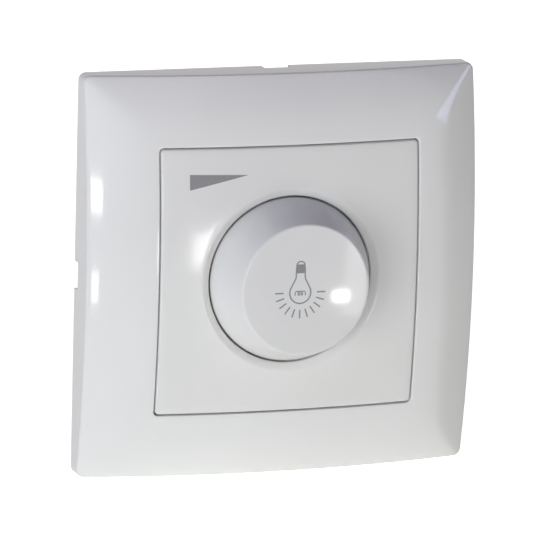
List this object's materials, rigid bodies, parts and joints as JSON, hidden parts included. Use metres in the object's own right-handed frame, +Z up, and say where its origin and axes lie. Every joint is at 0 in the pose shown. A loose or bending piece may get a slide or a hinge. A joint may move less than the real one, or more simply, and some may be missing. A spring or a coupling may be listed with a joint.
{
  "type": "rotary dimmer switch",
  "caption": "Flush-mounted rotary light dimmer with a square domed cover frame, a centre plate, a tapered knob and a module for a round wall box.",
  "frame": {"origin": "on the knob's axis in the wall plane, the centre of the bracket's screw pattern", "axes": "+X right, +Z up, +Y into the wall, seen from the room"},
  "size_m": [0.082, 0.0515, 0.082],
  "materials": {
    "cover_plastic": "polished",
    "plate_plastic": "polished",
    "knob_plastic": "polished",
    "housing_plastic": "fine texture",
    "bracket_steel": "zinc plated",
    "screw_steel": "zinc plated",
    "spring_steel": "bright",
    "turned_brass": "turned",
    "shaft_aluminium": "turned",
    "board_laminate": "solder mask",
    "inner_plastic": "moulded",
    "track_carbon": "printed carbon",
    "ferrite": "sintered",
    "enamelled_copper": "enamelled",
    "capacitor_case": "dipped",
    "fuse_glass": "clear",
    "resistor_body": "lacquered"
  },
  "bodies": {
    "base": {"cover_frame": "cover_plastic", "center_plate": "plate_plastic", "threaded_bushing": "turned_brass", "bushing_nut": "screw_steel", "lock_washer": "spring_steel", "mounting_bracket": "bracket_steel", "bracket_screws": "screw_steel", "housing_front": "housing_plastic", "housing_rear": "housing_plastic", "housing_screws": "screw_steel", "terminal_bars": "turned_brass", "circuit_board": "board_laminate", "potentiometer_case": "inner_plastic", "potentiometer_pins": "turned_brass", "resistance_track": "track_carbon", "switch_case": "inner_plastic", "switch_contacts": "turned_brass", "return_spring": "spring_steel", "choke_core": "ferrite", "choke_winding": "enamelled_copper", "film_capacitor": "capacitor_case", "electrolytic_capacitor": "inner_plastic", "triac": "inner_plastic", "heat_sink": "shaft_aluminium", "triac_screw": "screw_steel", "fuse": "fuse_glass", "fuse_clips": "turned_brass", "resistors": "resistor_body", "diac": "inner_plastic"},
    "rotor": {"wiper_rotor": "inner_plastic", "wiper_contact": "spring_steel"},
    "knob": {"knob": "knob_plastic", "knob_spring_ring": "spring_steel", "shaft": "shaft_aluminium"},
    "switch_plunger": {"switch_plunger": "inner_plastic"},
    "claw_right": {"claw_right": "bracket_steel"},
    "claw_screw_right": {"claw_screw_right": "screw_steel"},
    "claw_left": {"claw_left": "bracket_steel"},
    "claw_screw_left": {"claw_screw_left": "screw_steel"},
    "terminal_clamp_1": {"terminal_clamp_1": "bracket_steel"},
    "terminal_screw_1": {"terminal_screw_1": "screw_steel"},
    "terminal_clamp_2": {"terminal_clamp_2": "bracket_steel"},
    "terminal_screw_2": {"terminal_screw_2": "screw_steel"},
    "terminal_clamp_3": {"terminal_clamp_3": "bracket_steel"},
    "terminal_screw_3": {"terminal_screw_3": "screw_steel"}
  },
  "joints": [
    {"name": "knob_turn", "type": "hinge", "parent": "base", "child": "rotor", "pos_m": [0, 0, 0], "axis": [0, 1, 0], "range_deg": [-135, 135]},
    {"name": "knob_push", "type": "slide", "parent": "rotor", "child": "knob", "axis": [0, 1, 0], "range_m": [0, 0.0015], "stiffness_N_per_m": 1500, "springref_m": -0.0005},
    {"name": "switch_slide", "type": "slide", "parent": "base", "child": "switch_plunger", "axis": [0, 1, 0], "range_m": [0, 0.0015], "deforming": ["return_spring"]},
    {"name": "claw_screw_right", "type": "hinge", "parent": "base", "child": "claw_screw_right", "pos_m": [0.0229, 0, 0], "axis": [0, 1, 0], "range_deg": [0, 1350]},
    {"name": "claw_right", "type": "hinge", "parent": "base", "child": "claw_right", "pos_m": [0.0169, 0.0046, 0], "axis": [0, 0, -1], "range_deg": [0, 18]},
    {"name": "claw_screw_left", "type": "hinge", "parent": "base", "child": "claw_screw_left", "pos_m": [-0.0229, 0, 0], "axis": [0, 1, 0], "range_deg": [0, 1350]},
    {"name": "claw_left", "type": "hinge", "parent": "base", "child": "claw_left", "pos_m": [-0.0169, 0.0046, 0], "axis": [0, 0, 1], "range_deg": [0, 18]},
    {"name": "terminal_screw_1", "type": "hinge", "parent": "base", "child": "terminal_screw_1", "pos_m": [-0.009, 0.022, -0.018], "axis": [0, 0, 1], "range_deg": [0, 2165]},
    {"name": "terminal_clamp_1", "type": "slide", "parent": "base", "child": "terminal_clamp_1", "axis": [0, 0, -1], "range_m": [0, 0.003]},
    {"name": "terminal_screw_2", "type": "hinge", "parent": "base", "child": "terminal_screw_2", "pos_m": [0, 0.022, -0.018], "axis": [0, 0, 1], "range_deg": [0, 2165]},
    {"name": "terminal_clamp_2", "type": "slide", "parent": "base", "child": "terminal_clamp_2", "axis": [0, 0, -1], "range_m": [0, 0.003]},
    {"name": "terminal_screw_3", "type": "hinge", "parent": "base", "child": "terminal_screw_3", "pos_m": [0.009, 0.022, -0.018], "axis": [0, 0, 1], "range_deg": [0, 2165]},
    {"name": "terminal_clamp_3", "type": "slide", "parent": "base", "child": "terminal_clamp_3", "axis": [0, 0, -1], "range_m": [0, 0.003]}
  ],
  "couplings": [
    {"joint": "switch_slide", "follows": "knob_push", "ratio": 1},
    {"joint": "claw_right", "follows": "claw_screw_right", "ratio": 0.013263},
    {"joint": "claw_left", "follows": "claw_screw_left", "ratio": 0.013263},
    {"joint": "terminal_screw_1", "follows": "terminal_clamp_1", "rad_per_m": 12566},
    {"joint": "terminal_screw_2", "follows": "terminal_clamp_2", "rad_per_m": 12566},
    {"joint": "terminal_screw_3", "follows": "terminal_clamp_3", "rad_per_m": 12566}
  ]
}
